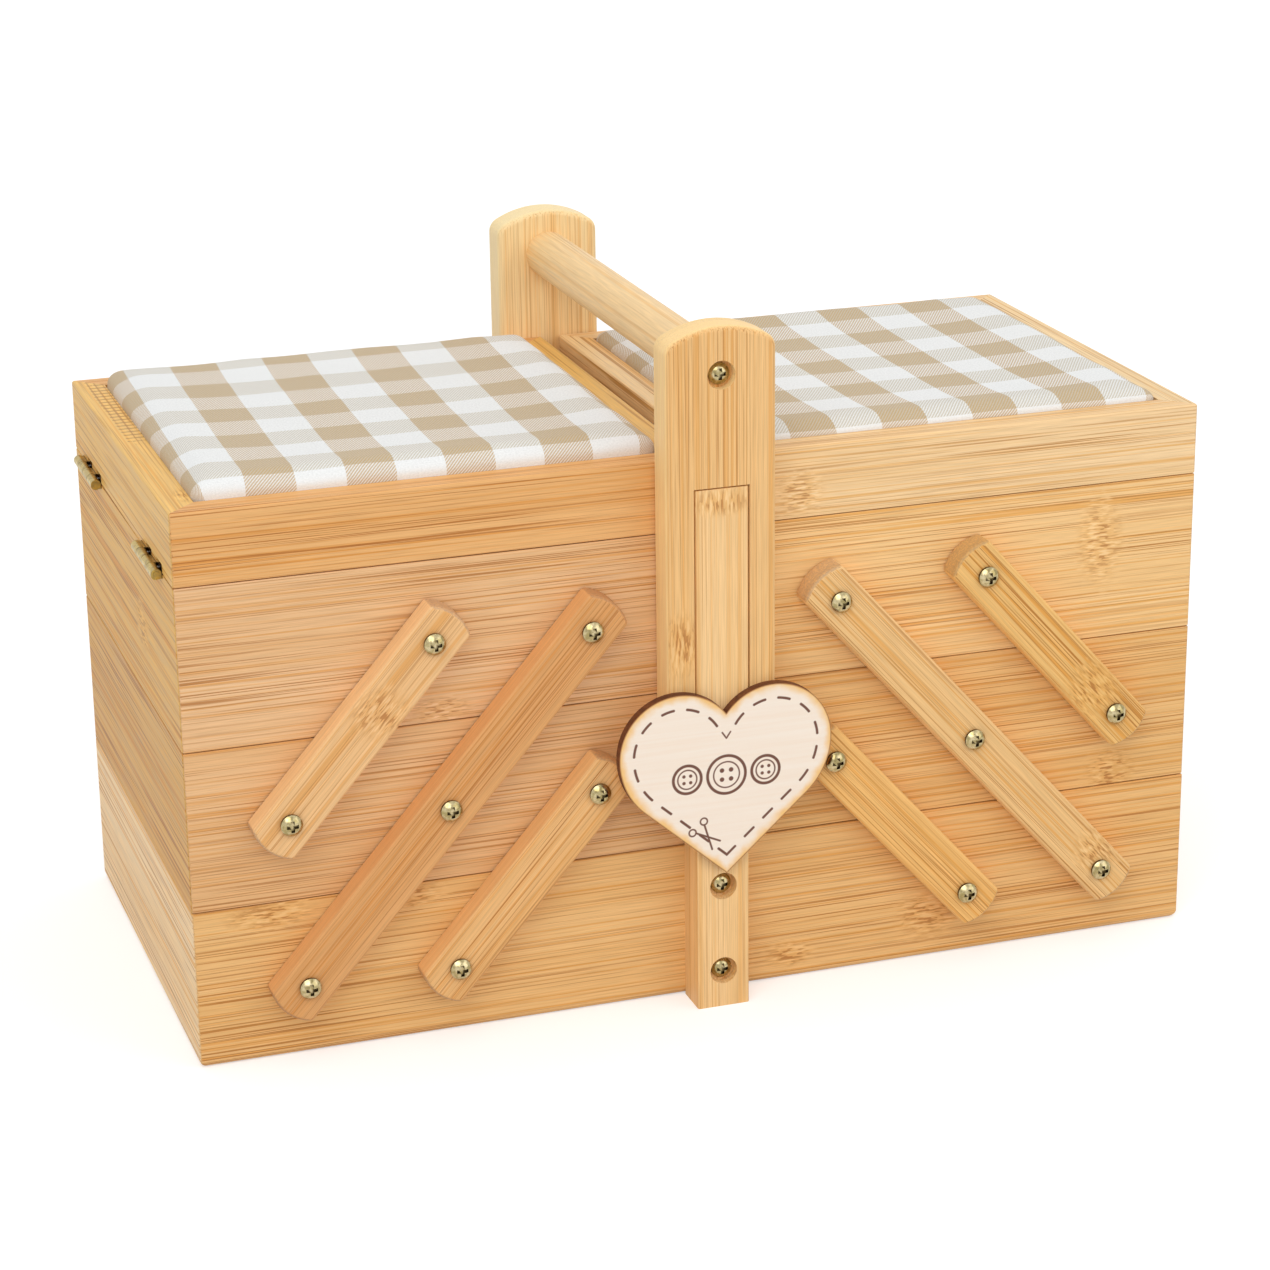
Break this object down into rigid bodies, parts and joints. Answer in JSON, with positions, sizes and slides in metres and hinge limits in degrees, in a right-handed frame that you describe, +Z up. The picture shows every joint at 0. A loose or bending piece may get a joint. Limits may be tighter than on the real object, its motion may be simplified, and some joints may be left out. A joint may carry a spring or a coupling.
{
  "type": "sewing box",
  "caption": "Folding cantilever sewing box in bamboo: stacked trays swing out on flat wooden links, under hinged padded lids and a fixed carrying handle.",
  "frame": {"origin": "middle of the flat underside that the box stands on", "axes": "+X along the length to the right, +Y from front to back, +Z up"},
  "size_m": [0.3266, 0.182, 0.2135],
  "materials": {
    "bamboo": "sanded bamboo board under a thin clear lacquer",
    "bamboo_ply": "sanded thin bamboo sheet",
    "birch_ply": "bare birch plywood with a laser-burnt edge",
    "gingham_cotton": "beige and white woven gingham over wadding",
    "zinc_steel": "steel with yellow zinc plating",
    "brass": "plain pressed brass"
  },
  "bodies": {
    "base": {"back_handle_post": "bamboo", "back_handle_strip": "bamboo", "bottom_tray_end_walls": "bamboo", "bottom_tray_floor": "bamboo_ply", "bottom_tray_long_walls": "bamboo", "bottom_tray_pivot_screws": "zinc_steel", "front_handle_post": "bamboo", "front_handle_strip": "bamboo", "handle_dowel": "bamboo", "handle_dowel_screws": "zinc_steel", "handle_strip_screws": "zinc_steel", "heart_tag": "birch_ply"},
    "left_long_links": {"left_long_link_back": "bamboo", "left_long_link_front": "bamboo"},
    "left_lower_links": {"left_lower_link_back": "bamboo", "left_lower_link_front": "bamboo"},
    "left_upper_links": {"left_upper_link_back": "bamboo", "left_upper_link_front": "bamboo"},
    "left_middle_tray": {"left_middle_tray_end_walls": "bamboo", "left_middle_tray_floor": "bamboo_ply", "left_middle_tray_long_walls": "bamboo", "left_middle_tray_pivot_screws": "zinc_steel"},
    "left_top_tray": {"left_hinge_pins": "brass", "left_hinge_tray_leaves": "brass", "left_top_tray_end_walls": "bamboo", "left_top_tray_floor": "bamboo_ply", "left_top_tray_long_walls": "bamboo", "left_top_tray_pivot_screws": "zinc_steel", "left_tray_hinge_screws": "brass"},
    "left_lid": {"left_hinge_lid_leaves": "brass", "left_lid_end_rails": "bamboo", "left_lid_hinge_screws": "brass", "left_lid_long_rails": "bamboo", "left_lid_pad": "gingham_cotton", "left_lid_panel": "bamboo_ply"},
    "right_long_links": {"right_long_link_back": "bamboo", "right_long_link_front": "bamboo"},
    "right_lower_links": {"right_lower_link_back": "bamboo", "right_lower_link_front": "bamboo"},
    "right_upper_links": {"right_upper_link_back": "bamboo", "right_upper_link_front": "bamboo"},
    "right_middle_tray": {"right_middle_tray_end_walls": "bamboo", "right_middle_tray_floor": "bamboo_ply", "right_middle_tray_long_walls": "bamboo", "right_middle_tray_pivot_screws": "zinc_steel"},
    "right_top_tray": {"right_hinge_pins": "brass", "right_hinge_tray_leaves": "brass", "right_top_tray_end_walls": "bamboo", "right_top_tray_floor": "bamboo_ply", "right_top_tray_long_walls": "bamboo", "right_top_tray_pivot_screws": "zinc_steel", "right_tray_hinge_screws": "brass"},
    "right_lid": {"right_hinge_lid_leaves": "brass", "right_lid_end_rails": "bamboo", "right_lid_hinge_screws": "brass", "right_lid_long_rails": "bamboo", "right_lid_pad": "gingham_cotton", "right_lid_panel": "bamboo_ply"}
  },
  "joints": [
    {"name": "left_unfold", "type": "hinge", "parent": "base", "child": "left_long_links", "pos_m": [-0.1278, 0, 0.025], "axis": [0, -1, 0], "range_deg": [0, 83.4]},
    {"name": "left_middle_tray_level", "type": "hinge", "parent": "left_long_links", "child": "left_middle_tray", "pos_m": [-0.0834, 0, 0.0748], "axis": [0, 1, 0], "range_deg": [0, 83.4]},
    {"name": "left_top_tray_level", "type": "hinge", "parent": "left_long_links", "child": "left_top_tray", "pos_m": [-0.039, 0, 0.1246], "axis": [0, 1, 0], "range_deg": [0, 83.4]},
    {"name": "left_lower_link_swing", "type": "hinge", "parent": "base", "child": "left_lower_links", "pos_m": [-0.082, 0, 0.0239], "axis": [0, -1, 0], "range_deg": [0, 83.4]},
    {"name": "left_upper_link_swing", "type": "hinge", "parent": "left_middle_tray", "child": "left_upper_links", "pos_m": [-0.1312, 0, 0.0771], "axis": [0, -1, 0], "range_deg": [0, 83.4]},
    {"name": "left_lid_open", "type": "hinge", "parent": "left_top_tray", "child": "left_lid", "pos_m": [-0.1617, 0, 0.14925], "axis": [0, -1, 0], "range_deg": [0, 180]},
    {"name": "right_unfold", "type": "hinge", "parent": "base", "child": "right_long_links", "pos_m": [0.1278, 0, 0.025], "axis": [0, 1, 0], "range_deg": [0, 83.4]},
    {"name": "right_middle_tray_level", "type": "hinge", "parent": "right_long_links", "child": "right_middle_tray", "pos_m": [0.0834, 0, 0.0748], "axis": [0, -1, 0], "range_deg": [0, 83.4]},
    {"name": "right_top_tray_level", "type": "hinge", "parent": "right_long_links", "child": "right_top_tray", "pos_m": [0.039, 0, 0.1246], "axis": [0, -1, 0], "range_deg": [0, 83.4]},
    {"name": "right_lower_link_swing", "type": "hinge", "parent": "base", "child": "right_lower_links", "pos_m": [0.082, 0, 0.0239], "axis": [0, 1, 0], "range_deg": [0, 83.4]},
    {"name": "right_upper_link_swing", "type": "hinge", "parent": "right_middle_tray", "child": "right_upper_links", "pos_m": [0.1312, 0, 0.0771], "axis": [0, 1, 0], "range_deg": [0, 83.4]},
    {"name": "right_lid_open", "type": "hinge", "parent": "right_top_tray", "child": "right_lid", "pos_m": [0.1617, 0, 0.14925], "axis": [0, 1, 0], "range_deg": [0, 180]}
  ],
  "couplings": [
    {"joint": "left_middle_tray_level", "follows": "left_unfold", "ratio": 1},
    {"joint": "left_top_tray_level", "follows": "left_unfold", "ratio": 1},
    {"joint": "left_lower_link_swing", "follows": "left_unfold", "ratio": 1},
    {"joint": "left_upper_link_swing", "follows": "left_unfold", "ratio": 1},
    {"joint": "right_middle_tray_level", "follows": "right_unfold", "ratio": 1},
    {"joint": "right_top_tray_level", "follows": "right_unfold", "ratio": 1},
    {"joint": "right_lower_link_swing", "follows": "right_unfold", "ratio": 1},
    {"joint": "right_upper_link_swing", "follows": "right_unfold", "ratio": 1}
  ]
}
